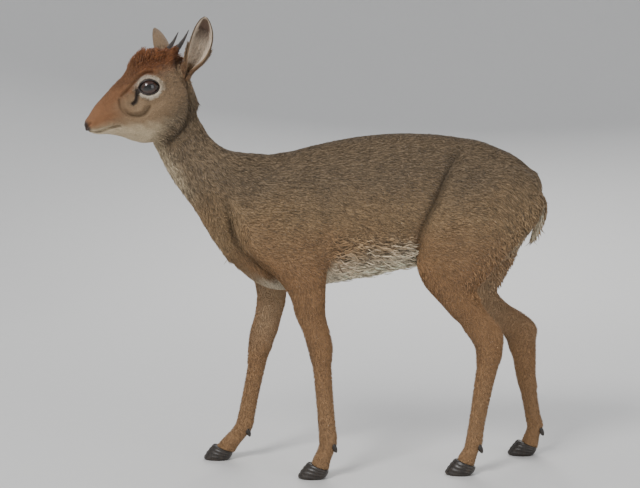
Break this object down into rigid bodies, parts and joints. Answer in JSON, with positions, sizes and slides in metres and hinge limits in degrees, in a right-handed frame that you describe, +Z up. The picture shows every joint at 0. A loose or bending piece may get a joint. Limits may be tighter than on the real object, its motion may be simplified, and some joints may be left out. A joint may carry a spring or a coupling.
{
  "type": "life-size kirk's dik-dik, a small antelope, standing as a still model",
  "caption": "Life-size male dik-dik antelope in mid-step, head raised and turned to its left, with short horns, cupped ears and cloven hooves. A still display model.",
  "frame": {"origin": "on the floor, under the middle of the animal's box", "axes": "the animal faces -X, its left side is towards -Y, +Z is up"},
  "size_m": [0.5346, 0.1294, 0.5132],
  "materials": {
    "coat": "short coarse coat, grizzled grey-brown above and on the neck",
    "rufous_coat": "short rufous and tan coat of the face, crown and legs",
    "eye": "wet, dark brown eye",
    "horn": "black-brown ringed horn",
    "hoof": "black-brown hoof horn"
  },
  "bodies": {
    "root": {"head": "rufous_coat", "neck": "coat", "torso": "coat", "tail": "coat", "ear_left": "coat", "horn_left": "horn", "eye_left": "eye", "ear_right": "coat", "horn_right": "horn", "eye_right": "eye", "foreleg_left_upper": "rufous_coat", "foreleg_left_cannon": "rufous_coat", "foreleg_left_foot": "rufous_coat", "claw_foreleg_left_1": "hoof", "claw_foreleg_left_2": "hoof", "dewclaw_foreleg_left_1": "hoof", "dewclaw_foreleg_left_2": "hoof", "foreleg_right_upper": "rufous_coat", "foreleg_right_cannon": "rufous_coat", "foreleg_right_foot": "rufous_coat", "claw_foreleg_right_1": "hoof", "claw_foreleg_right_2": "hoof", "dewclaw_foreleg_right_1": "hoof", "dewclaw_foreleg_right_2": "hoof", "hind_leg_left_upper": "rufous_coat", "hind_leg_left_cannon": "rufous_coat", "hind_leg_left_foot": "rufous_coat", "claw_hind_leg_left_1": "hoof", "claw_hind_leg_left_2": "hoof", "dewclaw_hind_leg_left_1": "hoof", "dewclaw_hind_leg_left_2": "hoof", "hind_leg_right_upper": "rufous_coat", "hind_leg_right_cannon": "rufous_coat", "hind_leg_right_foot": "rufous_coat", "claw_hind_leg_right_1": "hoof", "claw_hind_leg_right_2": "hoof", "dewclaw_hind_leg_right_1": "hoof", "dewclaw_hind_leg_right_2": "hoof"}
  },
  "joints": []
}
